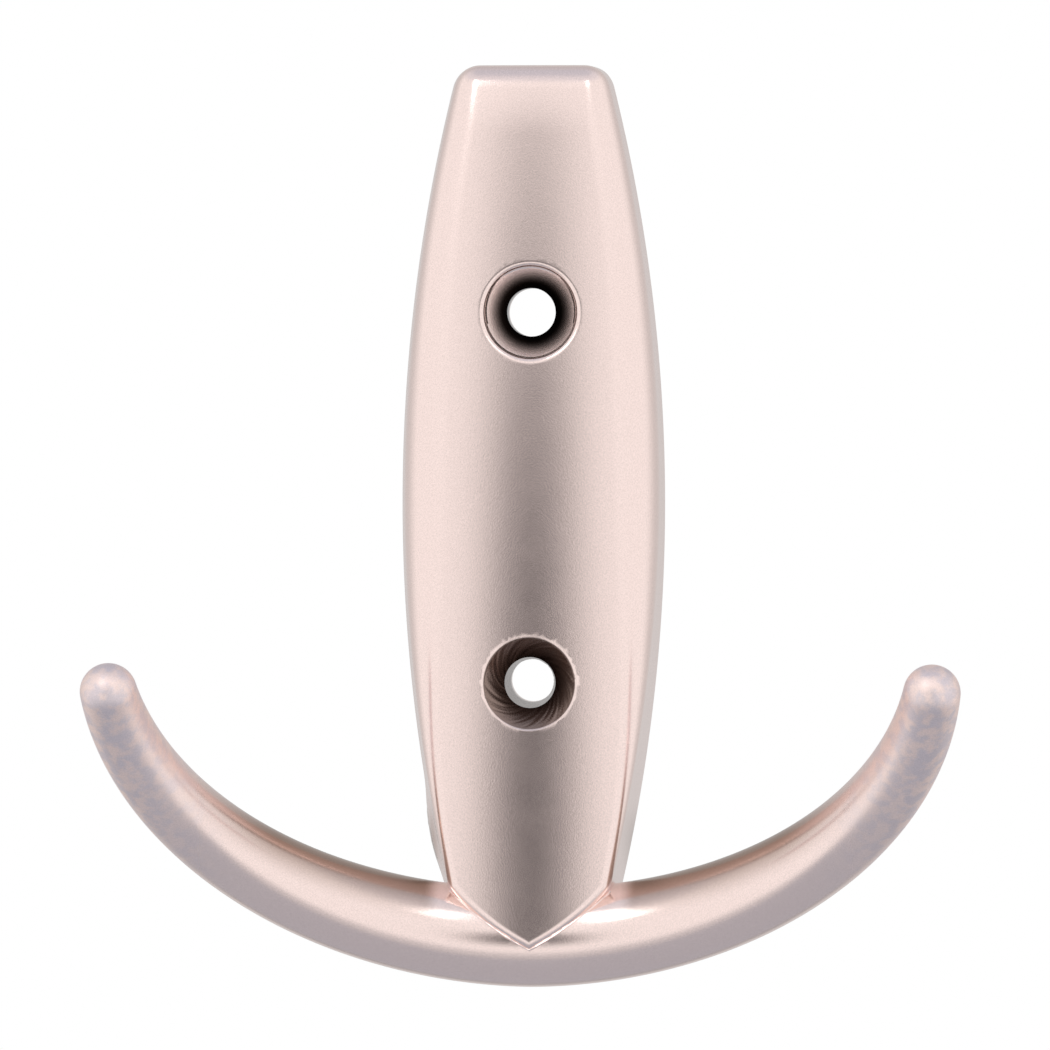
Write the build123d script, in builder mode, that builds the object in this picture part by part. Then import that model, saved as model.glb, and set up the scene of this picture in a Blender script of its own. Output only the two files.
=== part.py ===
from build123d import *
import os
from math import cos, radians, sin, sqrt, tan

# Wall coat hook, die-cast in one piece: an upright barrel-shaped plate with a crescent-shaped
# double hook across its foot. X is the width, Z is up, and the wall is the plane Y = 0 with the
# room on its -Y side. The origin lies on the wall, midway between the two screw holes.

# Plate, seen from the front
plate_top = 37.45            # height of the flat top end
plate_tip = -38.9            # height of the pointed foot, at the plate's front
widest_height = -0.6         # where the two bowed sides are furthest apart
widest_width = 22.92
side_radius = 150.0          # bow of each side
side_draft = 6.0             # lean of the cast sides
foot_slope = 27.0            # rise of each side of the pointed foot, beside the point
foot_steepest = 80.0         # rise of those sides where they run out past the plate
foot_bow = 20.0              # radius of the bow of those sides
foot_draft = 16.0            # lean of the foot's walls

# Plate, seen from the side: its front follows one shallow curve through three depths
top_depth = 4.7
middle_depth = 7.75
foot_depth = 8.8
crown_radius = 55.0          # the front's curve across its width
plate_bands = 24             # straight bands that follow the plate's curves, foot to top

# Rounding of the plate's edges
top_corner = 2.9             # long front edges, at the top
soft_corner = 4.6            # the same, at their softest
softest_height = 0.3         # which is here
crisp_corner = 1.1           # the same, at the foot
crisp_height = -32.0         # they stay crisp up to here
top_round = 2.3              # edge of the top end
foot_round = 0.8             # front edge of the pointed foot

# Screw holes
screw_spacing = 32.0
countersink_angle = 90.0
upper_head = 7.75            # mouth of the upper countersink
upper_bore = 4.2
lip_drop = 0.45              # the upper countersink starts below a rounded lip
lip_round = 0.4
lower_head = 7.95
lower_bore = 3.75
lower_mouth = 4.4            # the lower bore narrows from here
lower_straight = 2.4         # length of its straight part, at the wall

# Crescent bar
bar_height = -38.2           # middle of the bar behind the foot
bar_depth = 4.2
bar_width = 8.62             # thickness at the middle
tip_width = 4.85             # thickness where the domed tips begin
taper_power = 1.35           # how late along each arm the taper comes
crescent_radius = 34.9
crescent_lean = 44.0         # the crescent leans out from the wall by this angle
crescent_half_angle = 83.1   # from the middle to where each domed tip begins
crescent_steps = 6           # sections drawn along each arm

# Relief in the back
relief_depth = 2.0
relief_rim = 2.4
relief_foot = -29.5
relief_corner = 2.0
boss_width = 10.0

# Spare length that shapes are drawn with and then cut back by, and a length that counts as none
spare = 1.0
hair = 0.01


def half_width(z):
    """Half the plate's width at the wall."""
    return widest_width / 2 - side_radius + sqrt(side_radius**2 - (z - widest_height) ** 2)


def front_depth(z):
    """Depth of the plate on its middle line: the parabola through the three driving depths."""
    to_top = (top_depth - middle_depth) / plate_top
    to_tip = (foot_depth - middle_depth) / plate_tip
    bend = (to_top - to_tip) / (plate_top - plate_tip)
    return middle_depth + to_top * z + bend * z * (z - plate_top)


def ease(share):
    """A smooth step from 0 to 1."""
    share = min(max(share, 0), 1)
    return share**2 * (3 - 2 * share)


def corner_radius(z):
    """Rounding of the plate's long front edges: crisp at the foot and softest at mid-height."""
    if z < softest_height:
        grown = ease((z - crisp_height) / (softest_height - crisp_height))
        return crisp_corner + grown * (soft_corner - crisp_corner)
    shrunk = ease((z - softest_height) / (plate_top - softest_height))
    return soft_corner + shrunk * (top_corner - soft_corner)


def bar_radius(share):
    """Radius of the bar at a share of the way from its middle to either end."""
    return (bar_width - (bar_width - tip_width) * abs(share) ** taper_power) / 2


def facing_room(depth, z):
    """A plane parallel to the wall, at a depth in front of it, that faces the room."""
    return Plane((0, -depth, z), x_dir=(1, 0, 0), z_dir=(0, -1, 0))


os.makedirs("parts", exist_ok=True)

with BuildPart() as coat_hook:
    # Barrel-shaped plate: flat back, leaning sides, rounded front corners and a crowned front
    side_lean = tan(radians(side_draft))
    plate_low = plate_tip - foot_depth / 2
    for band in range(plate_bands + 1):
        z = plate_low + band / plate_bands * (plate_top - plate_low)
        depth = front_depth(z)
        crown_drop = (half_width(z) - depth * side_lean) ** 2 / (2 * crown_radius)
        edge_depth = depth - crown_drop
        edge_half = half_width(z) - edge_depth * side_lean
        back_half = half_width(z) + spare * side_lean
        with BuildSketch(Plane.XY.offset(z)) as section:
            with BuildLine():
                Polyline(
                    (-edge_half, -edge_depth), (-back_half, spare),
                    (back_half, spare), (edge_half, -edge_depth),
                )
                ThreePointArc((edge_half, -edge_depth), (0, -depth), (-edge_half, -edge_depth))
            make_face()
            front_corners = section.vertices().group_by(Axis.Y)[0]
            fillet(front_corners, corner_radius(z))
    loft(ruled=True)
    split(bisect_by=Plane.XZ)

    # Rounded top end
    top_face = coat_hook.faces().sort_by(Axis.Z)[-1]
    fillet(top_face.edges().filter_by(lambda edge: edge.center().Y < -hair), top_round)

    # Pointed foot: two bowed walls that lean outwards towards the wall
    start_tip = plate_tip + spare * tan(radians(foot_draft)) / cos(radians(foot_slope))
    slope_run = cos(radians(foot_slope))
    slope_rise = sin(radians(foot_slope))
    foot_turn = foot_steepest - foot_slope
    with BuildSketch(facing_room(foot_depth + spare, 0)):
        with BuildLine():
            right_wall = JernArc((0, start_tip), (slope_run, slope_rise), foot_bow, foot_turn)
            left_wall = JernArc((0, start_tip), (-slope_run, slope_rise), foot_bow, -foot_turn)
            Polyline(
                right_wall @ 1, (widest_width, 2 * plate_top),
                (-widest_width, 2 * plate_top), left_wall @ 1,
            )
        make_face()
    extrude(amount=-foot_depth - 2 * spare, taper=-foot_draft, mode=Mode.INTERSECT)
    foot_walls = coat_hook.faces().sort_by(Axis.Z)[:2]
    foot_edges = foot_walls[0].edges() + foot_walls[1].edges()
    fillet(
        foot_edges.filter_by(lambda edge: edge.center().Y < -hair and abs(edge.center().X) > hair),
        foot_round,
    )

    # Behind the bar the plate stops at the bar's middle, so that the bar stays round there
    with BuildSketch(facing_room(0, bar_height)):
        Rectangle(2 * widest_width, widest_width, align=(Align.CENTER, Align.MAX))
    extrude(amount=bar_depth, mode=Mode.SUBTRACT)

    # Crescent bar: circles that narrow towards both tips, along an arc that leans forward
    lean = radians(crescent_lean)
    crescent_plane = Plane(
        (0, -bar_depth, bar_height), x_dir=(1, 0, 0), z_dir=(0, -cos(lean), -sin(lean))
    )
    with BuildLine(crescent_plane) as crescent:
        CenterArc(
            (0, crescent_radius), crescent_radius, -90 - crescent_half_angle, 2 * crescent_half_angle
        )
    for step in range(-crescent_steps, crescent_steps + 1):
        share = step / crescent_steps
        place = (1 + share) / 2
        with BuildSketch(
            Plane(crescent.line @ place, x_dir=crescent_plane.z_dir, z_dir=crescent.line % place)
        ):
            with BuildLine():
                for quarter in range(4):
                    CenterArc((0, 0), bar_radius(share), 90 * quarter, 90)
            make_face()
    loft()

    # Domed tips
    for place, outward in ((0, -(crescent.line % 0)), (1, crescent.line % 1)):
        with Locations(Plane(crescent.line @ place, z_dir=outward)):
            Sphere(tip_width / 2, arc_size1=0, align=(Align.CENTER, Align.CENTER, Align.MIN))

    # The wall's plane cuts a narrow flat along the bar's back
    split(bisect_by=Plane.XZ)

    # Shallow relief in the back: a rim and a boss round each screw hole bear on the wall
    relief_top = plate_top - relief_rim
    relief_heights = (relief_foot, (relief_top + relief_foot) / 2, relief_top)
    with BuildSketch(facing_room(0, 0)) as relief:
        with BuildLine():
            right_side = ThreePointArc(*[(half_width(z) - relief_rim, z) for z in relief_heights])
            left_side = ThreePointArc(*[(relief_rim - half_width(z), z) for z in relief_heights])
            Line(right_side @ 0, left_side @ 0)
            Line(right_side @ 1, left_side @ 1)
        make_face()
        fillet(relief.vertices(), relief_corner)
        with Locations((0, screw_spacing / 2), (0, -screw_spacing / 2)):
            Circle(boss_width / 2, mode=Mode.SUBTRACT)
    extrude(amount=relief_depth, mode=Mode.SUBTRACT)

    # Upper screw hole: its countersink starts below a rounded lip
    upper_height = screw_spacing / 2
    upper_mouth = front_depth(upper_height + upper_head / 2) - lip_drop
    with Locations(facing_room(upper_mouth, upper_height)):
        CounterSinkHole(upper_bore / 2, upper_head / 2, upper_mouth, countersink_angle)
    fillet(coat_hook.edges(Select.LAST).sort_by(Axis.Y)[0], lip_round)

    # Lower screw hole: a crisp countersink over a bore that narrows towards the wall
    lower_height = -screw_spacing / 2
    lower_front = front_depth(lower_height)
    sink_slope = tan(radians(countersink_angle / 2))
    sink_depth = (lower_head - lower_mouth) / 2 / sink_slope
    with Locations(facing_room(lower_front + spare, lower_height)):
        CounterSinkHole(
            lower_bore / 2, lower_head / 2 + spare * sink_slope, lower_front + spare, countersink_angle
        )
    with Locations(facing_room(lower_straight, lower_height)):
        Cone(
            lower_bore / 2, lower_mouth / 2, lower_front - sink_depth - lower_straight,
            align=(Align.CENTER, Align.CENTER, Align.MIN), mode=Mode.SUBTRACT,
        )

coat_hook.part.label = "coat_hook"
export_step(coat_hook.part, "parts/coat_hook.step")
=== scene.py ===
import bpy
from math import acos, atan2, cos, hypot, pi, radians, sin, sqrt, tan
from mathutils import Matrix, Vector, noise


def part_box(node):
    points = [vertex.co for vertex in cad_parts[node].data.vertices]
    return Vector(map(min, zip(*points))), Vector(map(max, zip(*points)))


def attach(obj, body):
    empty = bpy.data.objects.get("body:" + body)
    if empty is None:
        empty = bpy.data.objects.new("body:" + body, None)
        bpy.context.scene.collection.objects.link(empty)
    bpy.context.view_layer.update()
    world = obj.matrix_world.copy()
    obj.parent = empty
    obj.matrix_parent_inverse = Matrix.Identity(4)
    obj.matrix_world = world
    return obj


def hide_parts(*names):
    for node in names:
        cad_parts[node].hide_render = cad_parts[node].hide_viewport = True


# Wall coat hook: a satin nickel casting with a barrel-shaped plate and a crescent double hook.
# X is the width, Z is up, the wall is the plane Y = 0 and the room is on its -Y side.
# Sizes in the dictionaries are millimetres, as on the drawing, and mm turns them into metres.

mm = 0.001

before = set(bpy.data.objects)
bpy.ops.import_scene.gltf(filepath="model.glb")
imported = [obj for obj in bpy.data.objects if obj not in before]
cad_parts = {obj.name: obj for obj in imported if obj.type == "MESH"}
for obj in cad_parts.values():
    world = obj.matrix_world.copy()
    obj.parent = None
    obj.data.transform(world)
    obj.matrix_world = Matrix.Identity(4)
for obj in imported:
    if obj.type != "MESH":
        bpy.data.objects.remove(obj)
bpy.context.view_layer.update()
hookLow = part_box("coat_hook")[0]
scene = bpy.context.scene

# Camera, at the photograph's viewing angle

cameraSettings = {
    "distance": 700.0,         # from the row's origin, along the view
    "yaw": 2.82,               # degrees towards +X
    "pitch": 1.08,             # degrees above
    "photoSize": 1050,         # pixels
    "focalPixels": 8029.0,
    "originPixel": (533.72, 496.2),   # where the row's origin lands
    "sensor": 36.0,
    "nearest": 10.0,           # it sees nothing nearer or further than these
    "furthest": 20000.0,
}


def addCamera(s):
    yaw, pitch = radians(s["yaw"]), radians(s["pitch"])
    distance = s["distance"] * mm
    right = Vector((cos(yaw), sin(yaw), 0))
    back = Vector((sin(yaw) * cos(pitch), -cos(yaw) * cos(pitch), sin(pitch)))
    up = back.cross(right)
    middle = s["photoSize"] / 2
    perPixel = distance / s["focalPixels"]
    across = (s["originPixel"][0] - middle) * perPixel
    upward = (middle - s["originPixel"][1]) * perPixel
    data = bpy.data.cameras.new("camera")
    data.sensor_width = s["sensor"]
    data.lens = s["sensor"] * s["focalPixels"] / s["photoSize"]
    data.clip_start = s["nearest"] * mm
    data.clip_end = s["furthest"] * mm
    camera = bpy.data.objects.new("camera", data)
    scene.collection.objects.link(camera)
    place = back * distance - right * across - up * upward
    turn = Matrix((right, up, back)).transposed()
    camera.matrix_world = Matrix.Translation(place) @ turn.to_4x4()
    scene.camera = camera


addCamera(cameraSettings)
print("camera placed")

# Small helpers for modelling by operator


def deselectAll():
    if bpy.context.object and bpy.context.object.mode != "OBJECT":
        bpy.ops.object.mode_set(mode="OBJECT")
    bpy.ops.object.select_all(action="DESELECT")


def selectOnly(piece):
    deselectAll()
    bpy.context.view_layer.objects.active = piece
    piece.select_set(True)


def nameNew(name):
    piece = bpy.context.object
    piece.name = name
    piece.data.name = name
    return piece


def shapeVertices(piece, place):
    for vertex in piece.data.vertices:
        vertex.co = Vector(place(vertex.co)) * mm
    piece.data.update()


def cutOrJoin(body, tool, operation):
    selectOnly(body)
    modifier = body.modifiers.new("shape", "BOOLEAN")
    modifier.operation = operation
    modifier.solver = "EXACT"
    modifier.object = tool
    bpy.ops.object.modifier_apply(modifier=modifier.name)
    bpy.data.objects.remove(tool, do_unlink=True)


def outwardNormals(piece):
    selectOnly(piece)
    bpy.ops.object.mode_set(mode="EDIT")
    bpy.ops.mesh.select_all(action="SELECT")
    bpy.ops.mesh.normals_make_consistent(inside=False)
    bpy.ops.object.mode_set(mode="OBJECT")


def ringStack(name, sides, rows):
    # a closed stack of rings: each vertex keeps its direction in x and y and its row in -z
    deselectAll()
    bpy.ops.mesh.primitive_circle_add(vertices=sides, radius=1, fill_type="NGON", location=(0, 0, 0))
    piece = nameNew(name)
    bpy.ops.object.mode_set(mode="EDIT")
    bpy.ops.mesh.select_all(action="SELECT")
    for row in range(rows):
        bpy.ops.mesh.extrude_region_move(TRANSFORM_OT_translate={"value": (0, 0, -1)})
    bpy.ops.object.mode_set(mode="OBJECT")
    bpy.ops.object.transform_apply(location=True, rotation=True, scale=True)
    return piece


def bell(value, middle, spread):
    # 1 at the middle, falling smoothly to 0 at a spread away
    away = min(abs(value - middle) / spread, 1)
    return (1 + cos(pi * away)) / 2


def ease(share):
    share = min(max(share, 0), 1)
    return share**2 * (3 - 2 * share)


def roundNoise(spin, fine, height):
    # noise that closes up round a circle
    return noise.noise(Vector((fine * cos(spin), fine * sin(spin), height)))


# Plate

plateSettings = {
    "top": 37.448,             # height of the flat top end
    "tip": -38.9,              # height of the pointed foot, at the front
    "widestHeight": -0.6,
    "widestWidth": 22.92,
    "sideRadius": 150.0,       # bow of each side
    "sideDraft": 6.0,          # degrees
    "footSlope": 27.0,         # rise of the foot's sides beside the point, degrees
    "footSteepest": 80.0,      # and where they run out past the plate
    "footBow": 20.0,           # radius of their bow
    "footDraft": 16.0,         # degrees
    "footLead": 1.0,           # the foot's outline is drawn this far in front of it
    "topDepth": 4.7,
    "middleDepth": 7.75,
    "footDepth": 8.8,
    "crownRadius": 55.0,       # curve of the front across its width
    "rollStart": 31.5,         # the front begins to roll over here, below the top's edge
    "rollBend": 0.008,
    "topCorner": 2.9,          # rounding of the long edges, at the top
    "softCorner": 4.6,         # and at its softest
    "softestHeight": 0.3,
    "crispCorner": 1.1,        # and at the foot
    "crispHeight": -32.0,
    "topRound": 2.3,
    "topBlend": 6.0,           # the long edges' rounding runs into the top's over this length
    "footRound": 0.8,
    "roundBlend": 0.8,         # where two edges meet, the nearer one's rounding prevails
    "roundPower": 3,
    "footReach": 1.5,          # the foot's mesh rows reach this many roundings up
    "barDepth": 4.2,           # the plate stops behind the bar's middle
    "barHeight": -38.2,
    "crownColumns": 44,        # mesh columns across the crown
    "edgeColumns": 13,         # and over each long edge
    "footRows": 9,             # mesh rows over the foot's edge
    "middleRows": 176,
    "topRows": 13,
    "edgeRows": 13,            # wall rows within the rounding
    "wallRows": 11,            # and below it
    "flashHeight": -29.6,      # rough parting flash on the left side, by the foot
    "flashSpread": 5.6,
    "flashWidth": 0.42,
    "flashDepth": 4.4,
    "flashRough": 0.09,
    "flashGrain": (1.1, 1.6),  # its bumps a millimetre, in depth and in height
    "flashSeed": 3.0,
    "flashEdge": 1.2,          # it fades out over this distance from the side
    "flashStart": 0.7,         # and towards the front from this share of its depth
    "flashFade": 0.45,
    "planTurns": 14,           # how often a vertex is placed anew, in plan and in depth
    "depthTurns": 6,
    "hair": 0.01,              # a short length, to measure slopes over
    "midLine": 0.0001,         # nearer the middle than this, the foot's point has no side
}


def halfWidth(z):
    s = plateSettings
    bow = sqrt(s["sideRadius"] ** 2 - (z - s["widestHeight"]) ** 2)
    return s["widestWidth"] / 2 - s["sideRadius"] + bow


def middleDepth(z):
    # depth of the front on the plate's middle line, a parabola through three depths
    s = plateSettings
    toTop = (s["topDepth"] - s["middleDepth"]) / s["top"]
    toTip = (s["footDepth"] - s["middleDepth"]) / s["tip"]
    bend = (toTop - toTip) / (s["top"] - s["tip"])
    return s["middleDepth"] + toTop * z + bend * z * (z - s["top"])


def frontDepth(x, z):
    s = plateSettings
    roll = max(z - s["rollStart"], 0)
    return middleDepth(z) - x * x / (2 * s["crownRadius"]) - s["rollBend"] * roll * roll


def cornerRadius(z):
    s = plateSettings
    if z < s["softestHeight"]:
        grown = ease((z - s["crispHeight"]) / (s["softestHeight"] - s["crispHeight"]))
        return s["crispCorner"] + grown * (s["softCorner"] - s["crispCorner"])
    shrunk = ease((z - s["softestHeight"]) / (s["top"] - s["softestHeight"]))
    return s["softCorner"] + shrunk * (s["topCorner"] - s["softCorner"])


def footCircle(depth):
    # middle and radius of the arc that bounds the foot on the right, at a depth
    s = plateSettings
    slope, draft = radians(s["footSlope"]), tan(radians(s["footDraft"]))
    start = s["tip"] + s["footLead"] * draft / cos(slope)
    radius = s["footBow"] + (s["footDepth"] + s["footLead"] - depth) * draft
    return -s["footBow"] * sin(slope), start + s["footBow"] * cos(slope), radius


def footHeight(x, depth):
    across, height, radius = footCircle(depth)
    return height - sqrt(max(radius**2 - (abs(x) - across) ** 2, 0))


def columnPlace(column, half, corner):
    # columns are even over the crown and even over each rounded edge
    s = plateSettings
    crownPart = s["crownColumns"] / (s["crownColumns"] + 2 * s["edgeColumns"])
    away = abs(column)
    if away <= crownPart:
        x = away / crownPart * (half - corner)
    else:
        x = half - corner * (1 - away) / (1 - crownPart)
    return x if column > 0 else -x


def rowShare(row, low):
    # rows are close over the foot's edge and over the top's edge
    s = plateSettings
    total = s["footRows"] + s["middleRows"] + s["topRows"]
    step = row * total
    length = s["top"] - low
    foot = s["footReach"] * s["footRound"] / length
    top = s["topRound"] / length
    if step <= s["footRows"]:
        return foot * step / s["footRows"]
    if step >= total - s["topRows"]:
        return 1 - top * (total - step) / s["topRows"]
    return foot + (1 - foot - top) * (step - s["footRows"]) / s["middleRows"]


def planPlace(column, row, depth):
    s = plateSettings
    lean = tan(radians(s["sideDraft"]))
    z = s["tip"]
    for turn in range(s["planTurns"]):
        x = columnPlace(column, halfWidth(z) - depth * lean, cornerRadius(z))
        low = footHeight(x, depth)
        z = low + (s["top"] - low) * rowShare(row, low)
    return x, z


def plateVertex(mark):
    # mark.x is the column from -1 to 1, mark.y the row, and -mark.z counts the wall rows
    s = plateSettings
    column, row, wallRow = mark.x, (mark.y + 1) / 2, round(-mark.z)
    depth = s["footDepth"]
    for turn in range(s["depthTurns"]):
        x, z = planPlace(column, row, depth)
        corner = edgeRound(edgeWalls(x, z, depth), z)
        front = frontDepth(x, z)
        if wallRow == 0:
            depth = front
        elif wallRow <= s["edgeRows"]:
            depth = front - corner * wallRow / s["edgeRows"]
        else:
            depth = (front - corner) * (1 - (wallRow - s["edgeRows"]) / s["wallRows"])
    return roundedPlace(x, z, depth)


def edgeWalls(x, z, depth):
    # how far inside the front, a side, the foot and the top a point lies, each with the
    # surface's outward direction in x, depth and z
    s = plateSettings
    sign = 1 if x > 0 else -1
    lean, draft = tan(radians(s["sideDraft"])), tan(radians(s["footDraft"]))
    hair = s["hair"]
    rise = (frontDepth(x, z + hair) - frontDepth(x, z - hair)) / (2 * hair)
    widening = (halfWidth(z + hair) - halfWidth(z - hair)) / (2 * hair)
    across, height, radius = footCircle(depth)
    slope = radians(s["footSteepest"])
    reach = hypot(abs(x) - across, z - height)
    if z < height - radius * cos(slope):
        foot, footX, footZ = radius - reach, (abs(x) - across) / reach, (z - height) / reach
    else:
        foot = radius - (abs(x) - across) * sin(slope) + (z - height) * cos(slope)
        footX, footZ = sin(slope), -cos(slope)
    if abs(x) < s["midLine"]:
        footX = 0
    walls = [
        (frontDepth(x, z) - depth, Vector((x / s["crownRadius"], 1, -rise))),
        (halfWidth(z) - depth * lean - abs(x), Vector((sign, lean, -widening))),
        (foot, Vector((sign * footX, draft, footZ))),
        (s["top"] - z, Vector((0, 0, 1))),
    ]
    return [(max(gap, 0) / direction.length, direction.normalized()) for gap, direction in walls]


def edgeRound(walls, z):
    # the rounding of the nearest edge
    s = plateSettings
    weights = [1 / (gap + s["roundBlend"]) ** s["roundPower"] for gap, direction in walls[1:]]
    sideShare = ease((s["top"] - z) / s["topBlend"])
    sideRound = s["topRound"] + (cornerRadius(z) - s["topRound"]) * sideShare
    radii = (sideRound, s["footRound"], s["topRound"])
    return sum(w * r for w, r in zip(weights, radii)) / sum(weights)


def roundedPlace(x, z, depth):
    # a point by an edge moves in until it lies on the ball that touches the walls beside it
    s = plateSettings
    walls = edgeWalls(x, z, depth)
    side = walls[1][0]
    corner = edgeRound(walls, z)
    near = [wall for wall in walls if wall[0] < corner]
    pushes = []
    while len(near) > 1:
        table = Matrix([[a[1].dot(b[1]) for b in near] for a in near])
        pushes = list(table.inverted_safe() @ Vector([corner - gap for gap, direction in near]))
        if min(pushes) >= 0:
            break
        near.pop(pushes.index(min(pushes)))
    if len(near) > 1:
        move = Vector((0, 0, 0))
        for push, (gap, direction) in zip(pushes, near):
            move -= push * direction
        if move.length > corner:
            move *= 1 - corner / move.length
            x, depth, z = x + move.x, depth + move.y, z + move.z
    if x < 0:
        inDepth, inHeight = s["flashGrain"]
        rough = noise.noise(Vector((depth * inDepth, z * inHeight, s["flashSeed"]))) * s["flashRough"]
        nearSide = 1 - ease(side / s["flashEdge"])
        start, fade = s["flashDepth"] * s["flashStart"], s["flashDepth"] * s["flashFade"]
        behind = 1 - ease((depth - start) / fade)
        x -= nearSide * behind * bell(z, s["flashHeight"], s["flashSpread"]) * (s["flashWidth"] + rough)
    if depth < s["barDepth"]:
        z = max(z, s["barHeight"])
    return x, -max(depth, 0), z


def makePlate():
    s = plateSettings
    columns = s["crownColumns"] + 2 * s["edgeColumns"]
    rows = s["footRows"] + s["middleRows"] + s["topRows"]
    deselectAll()
    bpy.ops.mesh.primitive_grid_add(x_subdivisions=columns, y_subdivisions=rows, size=2, location=(0, 0, 0))
    piece = nameNew("plateForm")
    bpy.ops.object.mode_set(mode="EDIT")
    bpy.ops.mesh.select_all(action="DESELECT")
    bpy.ops.mesh.select_mode(type="EDGE")
    bpy.ops.mesh.select_non_manifold()
    for wallRow in range(s["edgeRows"] + s["wallRows"]):
        bpy.ops.mesh.extrude_region_move(TRANSFORM_OT_translate={"value": (0, 0, -1)})
    bpy.ops.mesh.edge_face_add()
    bpy.ops.object.mode_set(mode="OBJECT")
    shapeVertices(piece, plateVertex)
    outwardNormals(piece)
    return piece


# Crescent bar

barSettings = {
    "height": -38.2,           # middle of the bar behind the foot
    "depth": 4.2,
    "width": 8.605,
    "tipWidth": 4.835,
    "taperPower": 1.35,
    "radius": 34.9,            # of the crescent
    "lean": 44.0,              # degrees
    "halfAngle": 83.1,
    "sides": 76,
    "domeRows": 12,
    "alongRows": 250,
}


def barFrame(turn):
    # middle of the bar at an angle along the crescent, with its inward and outward directions
    s = barSettings
    lean = radians(s["lean"])
    rise = Vector((0, -sin(lean), cos(lean)))
    face = Vector((0, -cos(lean), -sin(lean)))
    sideways = Vector((1, 0, 0))
    start = Vector((0, -s["depth"], s["height"]))
    middle = start + s["radius"] * (sideways * sin(turn) + rise * (1 - cos(turn)))
    along = sideways * cos(turn) + rise * sin(turn)
    inward = rise * cos(turn) - sideways * sin(turn)
    return middle, along, inward, face


def barRadius(turn):
    s = barSettings
    share = min(abs(turn) / radians(s["halfAngle"]), 1)
    return (s["width"] - (s["width"] - s["tipWidth"]) * share ** s["taperPower"]) / 2


def barVertex(mark):
    s = barSettings
    rings = 2 * s["domeRows"] + s["alongRows"]
    ring = round(acos(min(max(mark.z, -1), 1)) / pi * rings)
    spin = atan2(mark.y, mark.x)
    half = radians(s["halfAngle"])
    tip = s["tipWidth"] / 2
    if ring < s["domeRows"] or ring > rings - s["domeRows"]:
        end = -1 if ring < s["domeRows"] else 1
        step = ring if end < 0 else rings - ring
        rise = step / s["domeRows"] * pi / 2
        middle, along, inward, face = barFrame(end * half)
        middle = middle + end * along * tip * cos(rise)
        radius = tip * sin(rise)
    else:
        turn = half * (2 * (ring - s["domeRows"]) / s["alongRows"] - 1)
        middle, along, inward, face = barFrame(turn)
        radius = barRadius(turn)
    x, y, z = middle + radius * (cos(spin) * inward + sin(spin) * face)
    return x, min(y, 0), z


def makeBar():
    s = barSettings
    rings = 2 * s["domeRows"] + s["alongRows"]
    deselectAll()
    bpy.ops.mesh.primitive_uv_sphere_add(segments=s["sides"], ring_count=rings, radius=1)
    piece = nameNew("barForm")
    shapeVertices(piece, barVertex)
    outwardNormals(piece)
    return piece


# Screw holes

holeSettings = {
    "spacing": 32.0,
    "upperHead": 7.75,
    "upperBore": 4.2,
    "lipDrop": 0.45,
    "lipRound": 0.52,
    "lipOuter": 4.45,          # where the soft lip begins
    "lowerHead": 7.95,
    "lowerBore": 3.75,
    "lowerMouth": 4.4,
    "lowerStraight": 2.4,
    "sides": 160,
    "lowerSides": 320,
    "lipRows": 9,
    "coneRows": 16,
    "boreRows": 6,
    "chatter": 0.02,           # height of the tool marks in the lower countersink
    "chatterTwist": 0.55,      # their swirl, in radians a millimetre
    "chatterFade": 0.3,        # they fade out over this distance from the rim
    "boreRough": 0.03,         # roughness of the lower bore's wall
    "burr": 0.024,             # height of the raised rim round the lower countersink
    "burrWidth": 0.16,
    "burrInside": 0.25,        # it starts this far inside the countersink's rim
    "burrCrest": 0.75,         # share of its width from the outer foot to the crest
    "burrFoot": 0.003,         # its outer foot lies this deep in the front
    "burrRoot": 0.4,           # and its root this deep
    "lipStart": -24.0,         # the upper lip's arc, in degrees from the front
    "lipTurn": 102.0,
    "capReach": 0.3,           # the upper cutter's cap stands clear of the front by these
    "capDepth": 2.0,
    "lowerCap": 0.5,           # the lower cutter's cone goes on past its rim by this
    "lowerConeRows": 22,
    "lowerBoreRows": 12,
    "backRows": 2,             # of these, the rows in the lower bore's straight part
    "spare": 1.0,              # both cutters pass the wall by this
}


def upperCutter(s):
    middle = s["spacing"] / 2
    mouth = middleDepth(middle + s["upperHead"] / 2) - s["lipDrop"]
    lip, cone = s["lipRows"], s["coneRows"]
    headRadius, boreRadius = s["upperHead"] / 2, s["upperBore"] / 2
    piece = ringStack("upperCutter", s["sides"], lip + cone + s["boreRows"] + 1)

    def place(mark):
        row = round(-mark.z) - 1
        spin = atan2(mark.y, mark.x)
        if row < 0:
            reach = s["lipOuter"] + s["capReach"]
            x, z = reach * cos(spin), middle + reach * sin(spin)
            depth = mouth + s["capDepth"]
        elif row <= lip:
            turn = radians(s["lipStart"] + s["lipTurn"] * row / lip)
            reach = s["lipOuter"] - s["lipRound"] * sin(turn)
            x, z = reach * cos(spin), middle + reach * sin(spin)
            depth = frontDepth(x, z) - s["lipRound"] * (1 - cos(turn)) * (1 if turn > 0 else -1)
        elif row <= lip + cone:
            share = (row - lip - 1) / (cone - 1)
            reach = headRadius + (boreRadius - headRadius) * share
            x, z = reach * cos(spin), middle + reach * sin(spin)
            depth = mouth - (headRadius - reach)
        else:
            share = (row - lip - cone) / s["boreRows"]
            x, z = boreRadius * cos(spin), middle + boreRadius * sin(spin)
            depth = (mouth - headRadius + boreRadius) * (1 - share) - s["spare"] * share
        return x, -depth, z

    shapeVertices(piece, place)
    outwardNormals(piece)
    return piece


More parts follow.
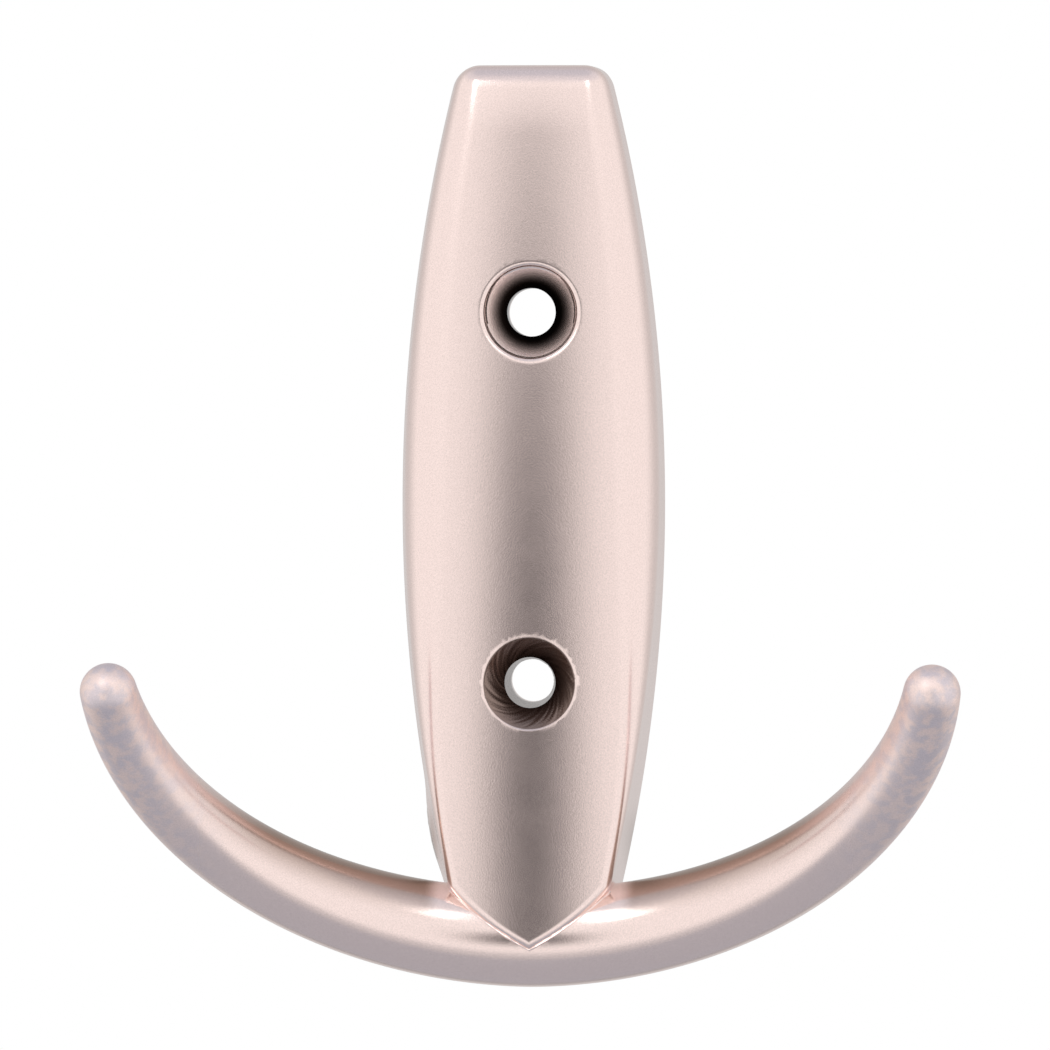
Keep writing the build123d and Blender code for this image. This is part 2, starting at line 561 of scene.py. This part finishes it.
def lowerCutter(s):
    middle = -s["spacing"] / 2
    front = middleDepth(middle)
    cone, bore, back, cap = s["lowerConeRows"], s["lowerBoreRows"], s["backRows"], s["lowerCap"]
    headRadius, mouthRadius, boreRadius = s["lowerHead"] / 2, s["lowerMouth"] / 2, s["lowerBore"] / 2
    piece = ringStack("lowerCutter", s["lowerSides"], cone + bore)

    def place(mark):
        row = round(-mark.z)
        spin = atan2(mark.y, mark.x)
        if row <= cone:
            reach = headRadius + cap + (mouthRadius - headRadius - cap) * row / cone
            depth = front - (headRadius - reach)
            swirl = spin + s["chatterTwist"] * reach
            marks = roundNoise(swirl, 10, 0.55 * reach) + roundNoise(swirl, 26, 1.1 * reach + 7)
            depth += s["chatter"] * marks * ease((headRadius - reach) / s["chatterFade"])
        elif row <= cone + bore - back:
            share = (row - cone) / (bore - back)
            reach = mouthRadius + (boreRadius - mouthRadius) * share
            depth = (front - headRadius + mouthRadius) * (1 - share) + s["lowerStraight"] * share
            reach += s["boreRough"] * roundNoise(spin, 9, 2 * depth)
        else:
            share = (row - cone - bore + back) / back
            reach = boreRadius
            depth = s["lowerStraight"] * (1 - share) - s["spare"] * share
        return reach * cos(spin), -depth, middle + reach * sin(spin)

    shapeVertices(piece, place)
    outwardNormals(piece)
    return piece


def rimBurr(s):
    # a thin raised rim that the countersinking left round the lower hole
    middle = -s["spacing"] / 2
    inner, outer = s["lowerHead"] / 2 - s["burrInside"], s["lowerHead"] / 2 + s["burrWidth"]
    deselectAll()
    bpy.ops.mesh.primitive_torus_add(
        major_segments=s["lowerSides"], minor_segments=4, major_radius=1, minor_radius=0.2,
    )
    piece = nameNew("rimBurr")

    def place(mark):
        spin = atan2(mark.y, mark.x)
        out = hypot(mark.x, mark.y) - 1
        tooth = roundNoise(spin, 4, 1.5)
        fine = roundNoise(spin, 14, 4.5)
        height = s["burr"] * (0.8 + 0.3 * tooth + 0.12 * fine)
        height += s["burr"] * (2.2 * bell(spin, 0.15, 0.16) + 2.0 * bell(spin, -2.86, 0.2))
        if out > 0.1:
            reach, lift = outer, -s["burrFoot"]
        elif out < -0.1:
            reach, lift = inner, height * 0.4
        else:
            reach, lift = outer - s["burrWidth"] * s["burrCrest"], height if mark.z > 0 else -s["burrRoot"]
        x, z = reach * cos(spin), middle + reach * sin(spin)
        return x, -(frontDepth(x, z) + lift), z

    shapeVertices(piece, place)
    outwardNormals(piece)
    return piece


# Relief in the back

reliefSettings = {
    "depth": 2.0,
    "rim": 2.4,
    "foot": -29.5,
    "corner": 2.0,
    "bossWidth": 10.0,
    "sideSteps": 30,
    "cornerSteps": 8,
}


def reliefCutter(s):
    top = plateSettings["top"] - s["rim"]
    steps, cornerSteps, corner = s["sideSteps"], s["cornerSteps"], s["corner"]
    right = []
    for step in range(cornerSteps + 1):
        turn = radians(-90 + 90 * step / cornerSteps)
        z = s["foot"] + corner
        right.append((halfWidth(z) - s["rim"] - corner + corner * cos(turn), z + corner * sin(turn)))
    for step in range(1, steps):
        z = s["foot"] + corner + (top - s["foot"] - 2 * corner) * step / steps
        right.append((halfWidth(z) - s["rim"], z))
    for step in range(cornerSteps + 1):
        turn = radians(90 * step / cornerSteps)
        z = top - corner
        right.append((halfWidth(z) - s["rim"] - corner + corner * cos(turn), z + corner * sin(turn)))
    outline = right + [(-x, z) for x, z in reversed(right)]
    piece = ringStack("reliefCutter", len(outline), 1)

    def place(mark):
        number = round(atan2(mark.y, mark.x) / (2 * pi) * len(outline)) % len(outline)
        x, z = outline[number]
        return x, (1 if mark.z > -0.5 else -s["depth"]), z

    shapeVertices(piece, place)
    outwardNormals(piece)
    for height in (holeSettings["spacing"] / 2, -holeSettings["spacing"] / 2):
        deselectAll()
        bpy.ops.mesh.primitive_cylinder_add(
            vertices=96, radius=s["bossWidth"] / 2 * mm, depth=12 * mm,
            location=(0, 0, height * mm), rotation=(pi / 2, 0, 0),
        )
        boss = nameNew("bossForm")
        bpy.ops.object.transform_apply(location=True, rotation=True, scale=True)
        cutOrJoin(piece, boss, "DIFFERENCE")
    return piece


# Bead where the foot's walls meet the bar

beadSettings = {
    "radius": 0.10,
    "steps": 90,
    "sides": 8,
}


def insideBar(point):
    # below 0 inside the bar: its distance along the crescent's own plane
    s = barSettings
    lean = radians(s["lean"])
    rise = Vector((0, -sin(lean), cos(lean)))
    face = Vector((0, -cos(lean), -sin(lean)))
    local = point - Vector((0, -s["depth"], s["height"]))
    across, up, out = local.x, local.dot(rise), local.dot(face)
    turn = atan2(across, s["radius"] - up)
    return hypot(s["radius"] - hypot(across, s["radius"] - up), out) - barRadius(turn)


def beadPath(s):
    points = []
    for step in range(-s["steps"], s["steps"] + 1):
        column = step / s["steps"]
        high, low = plateSettings["footDepth"], plateSettings["barDepth"]
        for halving in range(30):
            depth = (high + low) / 2
            x, z = planPlace(column, 0, depth)
            if insideBar(Vector((x, -depth, z))) > 0:
                high = depth
            else:
                low = depth
        points.append(Vector((x, -depth, z)))
    return points


def makeBead(s):
    points = beadPath(s)
    piece = ringStack("contactBead", s["sides"], len(points) - 1)

    def place(mark):
        number = round(-mark.z)
        here = points[number]
        along = (points[min(number + 1, len(points) - 1)] - points[max(number - 1, 0)]).normalized()
        first = along.cross(Vector((0, -1, 0))).normalized()
        second = along.cross(first)
        wobble = 1 + 0.5 * noise.noise(here * 1.3)
        radius = s["radius"] * wobble
        spin = atan2(mark.y, mark.x)
        return here + radius * (first * cos(spin) + second * sin(spin))

    shapeVertices(piece, place)
    outwardNormals(piece)
    return piece


# The casting, put together

castingSettings = {
    "weld": 0.002,             # vertices nearer than this become one
    "smoothAngle": 32.0,       # edges sharper than this stay sharp
}


def makeCasting(s):
    body = makePlate()
    print("plate formed")
    cutOrJoin(body, makeBar(), "UNION")
    print("bar joined")
    cutOrJoin(body, makeBead(beadSettings), "UNION")
    cutOrJoin(body, reliefCutter(reliefSettings), "DIFFERENCE")
    cutOrJoin(body, rimBurr(holeSettings), "UNION")
    cutOrJoin(body, upperCutter(holeSettings), "DIFFERENCE")
    cutOrJoin(body, lowerCutter(holeSettings), "DIFFERENCE")
    print("holes cut")
    body.name = "hookCasting"
    body.data.name = "hookCasting"
    selectOnly(body)
    bpy.ops.object.mode_set(mode="EDIT")
    bpy.ops.mesh.select_all(action="SELECT")
    bpy.ops.mesh.remove_doubles(threshold=s["weld"] * mm)
    bpy.ops.mesh.dissolve_degenerate(threshold=s["weld"] * mm)
    bpy.ops.object.mode_set(mode="OBJECT")
    bpy.ops.object.shade_smooth_by_angle(angle=radians(s["smoothAngle"]))
    return body


casting = makeCasting(castingSettings)
print("casting made, faces:", len(casting.data.polygons))

# Finishes

nickelSettings = {
    "colour": (0.91, 0.745, 0.70, 1),
    "coolColour": (0.74, 0.655, 0.68, 1),
    "roughness": 0.19,
    "grainScale": 8.0,         # speckles a millimetre
    "grainHeight": 0.0036,
    "grainShade": 0.3,
    "cloudScale": 0.45,
    "blotchScale": 0.85,
    "tipStart": 24.0,
    "tipFull": 35.0,
    "tipRoughness": 0.30,
    # painted shade on the arms' upper edges: its colour, then the heights and distances over which it fades
    # in and out
    "armShadeColour": (0.36, 0.255, 0.205, 1),
    "armShadeStart": 0.6,          # height above the bar's middle
    "armShadeFull": 4.0,
    "armShadeReach": 30.0,
    "armShadeHold": 21.0,
    "besideFoot": (7.6, 9.2),        # the painted shade stays off the foot's front, by distance from the middle
    "besidePlate": (11.7, 12.3),     # and off the plate's sides
    "belowSides": (-26.0, -31.0),    # unless it is this low
    "blotchEdges": (0.38, 0.62),
    "cloudRoughness": 0.03,
    "rimSoftness": 0.04,
    "holeStart": (-1.2, -1.7),       # the holes' colours begin this far in front of the wall
    "holes": [
        # height, radius of the rim and of the dark zone, colour in that zone and beside the rim; in the
        # upper hole these are painted shade by the bore and a painted highlight beside the rim, in the
        # lower hole bare metal darkened towards the bore by painted shade
        (16.0, 3.88, 2.5, (0.03, 0.021, 0.018, 1), (0.97, 0.84, 0.80, 1)),
        (-16.0, 3.96, 2.2, (0.15, 0.105, 0.09, 1), (0.31, 0.225, 0.195, 1)),
    ],
}


def newMaterial(name):
    material = bpy.data.materials.new(name)
    material.use_nodes = True
    nodes, links = material.node_tree.nodes, material.node_tree.links
    return material, nodes, links, nodes["Principled BSDF"]


def satinNickel(s):
    material, nodes, links, shader = newMaterial("satinNickel")
    shader.inputs["Metallic"].default_value = 1.0

    def feed(socket, value):
        if isinstance(value, (int, float, tuple)):
            socket.default_value = value
        else:
            links.new(value, socket)

    def calculate(operation, first, second=0.0):
        node = nodes.new("ShaderNodeMath")
        node.operation = operation
        feed(node.inputs[0], first)
        feed(node.inputs[1], second)
        return node.outputs[0]

    def vectors(operation, first, second):
        node = nodes.new("ShaderNodeVectorMath")
        node.operation = operation
        feed(node.inputs[0], first)
        feed(node.inputs[1], second)
        return node

    def step(value, start, end):
        # 0 at the start and 1 at the end, smoothly, and the end may be the lower one
        node = nodes.new("ShaderNodeMapRange")
        node.interpolation_type = "SMOOTHSTEP"
        feed(node.inputs["Value"], value)
        node.inputs["From Min"].default_value = start
        node.inputs["From Max"].default_value = end
        return node.outputs[0]

    def blend(share, first, second):
        node = nodes.new("ShaderNodeMix")
        node.data_type = "RGBA"
        feed(node.inputs[0], share)
        feed(node.inputs[6], first)
        feed(node.inputs[7], second)
        return node.outputs[2]

    def speckle(place, scale, detail):
        node = nodes.new("ShaderNodeTexNoise")
        node.inputs["Scale"].default_value = scale
        node.inputs["Detail"].default_value = detail
        links.new(place, node.inputs["Vector"])
        return node.outputs[0]

    place = nodes.new("ShaderNodeTexCoord").outputs["Object"]
    millimetres = vectors("MULTIPLY", place, (1 / mm, 1 / mm, 1 / mm)).outputs[0]
    split = nodes.new("ShaderNodeSeparateXYZ")
    links.new(millimetres, split.inputs[0])
    x, y, z = split.outputs
    outwards = calculate("ABSOLUTE", x)
    grain = speckle(millimetres, s["grainScale"], 2.0)
    clouds = speckle(millimetres, s["cloudScale"], 3.0)
    blotches = speckle(millimetres, s["blotchScale"], 4.0)

    # matt lavender blotches towards the tips
    tips = step(outwards, s["tipStart"], s["tipFull"])
    patchy = calculate("MULTIPLY", tips, step(blotches, *s["blotchEdges"]))
    colour = blend(patchy, s["colour"], s["coolColour"])
    roughness = calculate("ADD", s["roughness"], calculate("MULTIPLY", tips, s["tipRoughness"]))
    cloudy = calculate("MULTIPLY", calculate("SUBTRACT", clouds, 0.5), s["cloudRoughness"])
    roughness = calculate("ADD", roughness, cloudy)

    # painted shade: brownish darkening of the arms' upper edges, darkest beside the plate
    across = calculate("DIVIDE", x, barSettings["radius"])
    drop = calculate("SQRT", calculate("SUBTRACT", 1.0, calculate("MULTIPLY", across, across)))
    rise = barSettings["radius"] * cos(radians(barSettings["lean"]))
    middle = calculate("SUBTRACT", barSettings["height"] + rise, calculate("MULTIPLY", drop, rise))
    upper = step(calculate("SUBTRACT", z, middle), s["armShadeStart"], s["armShadeFull"])
    offPlate = calculate("MAXIMUM", step(outwards, *s["besidePlate"]), step(z, *s["belowSides"]))
    onArm = calculate("MULTIPLY", step(outwards, *s["besideFoot"]), offPlate)
    paintedArmShade = calculate("MULTIPLY", onArm, step(outwards, s["armShadeReach"], s["armShadeHold"]))
    colour = blend(calculate("MULTIPLY", upper, paintedArmShade), colour, s["armShadeColour"])

    # bare brown metal in the lower countersink, with painted shade darkening it towards the bore; in the
    # plated upper one, near-black painted shade by the bore and a painted highlight beside the rim
    soft = s["rimSoftness"]
    for height, rim, darkZone, near, far in s["holes"]:
        lift = calculate("SUBTRACT", z, height)
        square = calculate("ADD", calculate("MULTIPLY", x, x), calculate("MULTIPLY", lift, lift))
        radius = calculate("SQRT", square)
        inside = calculate("MULTIPLY", step(radius, rim + soft, rim - soft), step(y, *s["holeStart"]))
        colour = blend(inside, colour, blend(step(radius, darkZone, rim), near, far))

    # a little lighter and darker in the grain
    shade = calculate("ADD", 1.0, calculate("MULTIPLY", calculate("SUBTRACT", grain, 0.5), s["grainShade"]))
    tinted = nodes.new("ShaderNodeVectorMath")
    tinted.operation = "SCALE"
    links.new(colour, tinted.inputs[0])
    links.new(shade, tinted.inputs["Scale"])
    links.new(tinted.outputs[0], shader.inputs["Base Color"])
    links.new(roughness, shader.inputs["Roughness"])

    bump = nodes.new("ShaderNodeBump")
    bump.inputs["Strength"].default_value = 1.0
    bump.inputs["Distance"].default_value = s["grainHeight"] * mm
    links.new(grain, bump.inputs["Height"])
    links.new(bump.outputs[0], shader.inputs["Normal"])
    return material


casting.data.materials.clear()
casting.data.materials.append(satinNickel(nickelSettings))
print("finishes made")

# Floor, world and lamps

stageSettings = {
    "floorDrop": 130.0,        # below the hook
    "floorSize": 240.0,
    "floorColour": (0.53, 0.55, 0.59, 1),
    "floorRoughness": 0.9,
    "floorLift": 0.70,         # light that the floor shows the camera beside its own
    "white": (1.0, 1.0, 1.0, 1),
    "sky": [
        # the studio's walls by height, from 0 straight below to 1 straight above
        (0.0, (0.34, 0.36, 0.395, 1)), (0.07, (0.38, 0.40, 0.435, 1)), (0.16, (0.62, 0.63, 0.65, 1)),
        (0.27, (1.0, 1.0, 1.0, 1)), (0.76, (1.0, 1.0, 1.0, 1)), (0.93, (0.80, 0.82, 0.87, 1)),
        (1.0, (0.62, 0.66, 0.74, 1)),
    ],
    "behindShade": 0.66,       # the studio behind the hook is dimmer by this share
    "behindStart": 0.05,
    "behindFull": 0.75,
    "spotDirection": (-0.040, -0.998, -0.025),   # the dark camera side of the studio
    "spotInner": 0.035,
    "spotOuter": 0.245,
    "spotHeight": 0.58,        # below 1 the dark side is taller than wide
    "spotColour": (0.05, 0.049, 0.054, 1),
    "lamps": [
        # name, place, aim, width, height, watts
        ("leftLamp", (-182.0, -360.0, 296.0), (0, 0, -10.0), 100.0, 210.0, 0.19),
        ("rightLamp", (146.0, -367.0, 304.0), (0, 0, -10.0), 80.0, 180.0, 0.06),
    ],
}


def addLamp(name, place, aim, width, height, watts):
    data = bpy.data.lights.new(name, "AREA")
    data.shape = "RECTANGLE"
    data.size = width * mm
    data.size_y = height * mm
    data.energy = watts
    lamp = bpy.data.objects.new(name, data)
    lamp.location = Vector(place) * mm
    lamp.rotation_euler = (Vector(aim) - Vector(place)).to_track_quat("-Z", "Y").to_euler()
    scene.collection.objects.link(lamp)


def addWorld(s):
    world = bpy.data.worlds.new("studio")
    scene.world = world
    world.use_nodes = True
    nodes, links = world.node_tree.nodes, world.node_tree.links
    nodes.clear()
    place = nodes.new("ShaderNodeTexCoord")
    split = nodes.new("ShaderNodeSeparateXYZ")
    links.new(place.outputs["Generated"], split.inputs[0])
    height = nodes.new("ShaderNodeMapRange")
    height.inputs["From Min"].default_value = -1
    height.inputs["From Max"].default_value = 1
    links.new(split.outputs["Z"], height.inputs["Value"])
    sky = nodes.new("ShaderNodeValToRGB")
    sky.color_ramp.interpolation = "EASE"
    stops = s["sky"]
    sky.color_ramp.elements[0].position, sky.color_ramp.elements[0].color = stops[0]
    sky.color_ramp.elements[1].position, sky.color_ramp.elements[1].color = stops[-1]
    for position, colour in stops[1:-1]:
        sky.color_ramp.elements.new(position).color = colour
    links.new(height.outputs[0], sky.inputs[0])
    behind = nodes.new("ShaderNodeMapRange")
    behind.interpolation_type = "SMOOTHSTEP"
    behind.inputs["From Min"].default_value = s["behindStart"]
    behind.inputs["From Max"].default_value = s["behindFull"]
    behind.inputs["To Min"].default_value = 1.0
    behind.inputs["To Max"].default_value = s["behindShade"]
    links.new(split.outputs["Y"], behind.inputs["Value"])
    walls = nodes.new("ShaderNodeVectorMath")
    walls.operation = "SCALE"
    links.new(sky.outputs[0], walls.inputs[0])
    links.new(behind.outputs[0], walls.inputs["Scale"])
    away = nodes.new("ShaderNodeVectorMath")
    away.operation = "SUBTRACT"
    away.inputs[1].default_value = s["spotDirection"]
    links.new(place.outputs["Generated"], away.inputs[0])
    squeeze = nodes.new("ShaderNodeVectorMath")
    squeeze.operation = "MULTIPLY"
    squeeze.inputs[1].default_value = (1, 1, s["spotHeight"])
    links.new(away.outputs[0], squeeze.inputs[0])
    length = nodes.new("ShaderNodeVectorMath")
    length.operation = "LENGTH"
    links.new(squeeze.outputs[0], length.inputs[0])
    spot = nodes.new("ShaderNodeMapRange")
    spot.interpolation_type = "SMOOTHSTEP"
    spot.inputs["From Min"].default_value = s["spotInner"]
    spot.inputs["From Max"].default_value = s["spotOuter"]
    links.new(length.outputs["Value"], spot.inputs["Value"])
    studio = nodes.new("ShaderNodeMix")
    studio.data_type = "RGBA"
    studio.inputs[6].default_value = s["spotColour"]
    links.new(spot.outputs[0], studio.inputs["Factor"])
    links.new(walls.outputs[0], studio.inputs[7])
    path = nodes.new("ShaderNodeLightPath")
    seen = nodes.new("ShaderNodeMix")
    seen.data_type = "RGBA"
    seen.inputs[7].default_value = s["white"]
    links.new(path.outputs["Is Camera Ray"], seen.inputs["Factor"])
    links.new(studio.outputs[2], seen.inputs[6])
    glow = nodes.new("ShaderNodeBackground")
    out = nodes.new("ShaderNodeOutputWorld")
    links.new(seen.outputs[2], glow.inputs["Color"])
    links.new(glow.outputs[0], out.inputs["Surface"])


def addFloor(s):
    deselectAll()
    height = hookLow.z - s["floorDrop"] * mm
    bpy.ops.mesh.primitive_plane_add(size=s["floorSize"] * mm, location=(0, 0, height))
    floor = nameNew("floor")
    bpy.ops.object.transform_apply(location=True, rotation=True, scale=True)
    material, nodes, links, shader = newMaterial("paleFloor")
    shader.inputs["Base Color"].default_value = s["floorColour"]
    shader.inputs["Roughness"].default_value = s["floorRoughness"]
    shader.inputs["Emission Color"].default_value = s["white"]
    path = nodes.new("ShaderNodeLightPath")
    lift = nodes.new("ShaderNodeMath")
    lift.operation = "MULTIPLY"
    lift.inputs[1].default_value = s["floorLift"]
    links.new(path.outputs["Is Camera Ray"], lift.inputs[0])
    links.new(lift.outputs[0], shader.inputs["Emission Strength"])
    floor.data.materials.append(material)


addWorld(stageSettings)
addFloor(stageSettings)
for lamp in stageSettings["lamps"]:
    addLamp(*lamp)
print("stage set")

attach(casting, "root")
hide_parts("coat_hook")
scene.view_settings.view_transform = "Standard"
